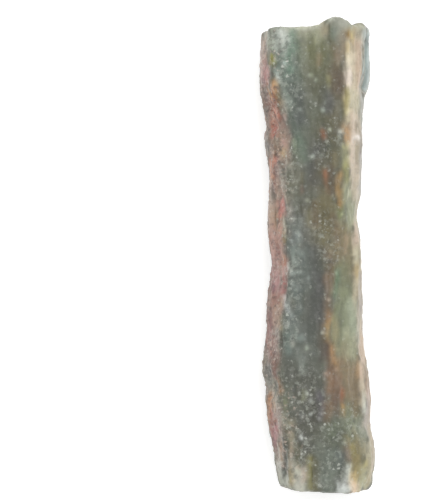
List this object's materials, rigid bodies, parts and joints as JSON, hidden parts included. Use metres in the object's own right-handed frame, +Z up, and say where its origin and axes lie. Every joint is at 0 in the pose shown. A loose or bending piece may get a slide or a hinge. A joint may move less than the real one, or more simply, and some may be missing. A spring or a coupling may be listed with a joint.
{
  "type": "rough jade",
  "caption": "Slender uneven stick of natural rough jade with a weathered rind down one long side: raw stone for carving, polishing or display, lying on its flattest side.",
  "frame": {"origin": "on the resting plane, under the middle of the stick's bounding box", "axes": "+Y along the stick towards its knobbed end, +X across it to the right as seen from above, +Z up out of the broad dark face"},
  "size_m": [0.0094, 0.0388, 0.0065],
  "materials": {
    "jade": "broken and weathered, frosty grey-green with a pink-brown rind"
  },
  "bodies": {
    "root": {"rough_jade": "jade"}
  },
  "joints": []
}
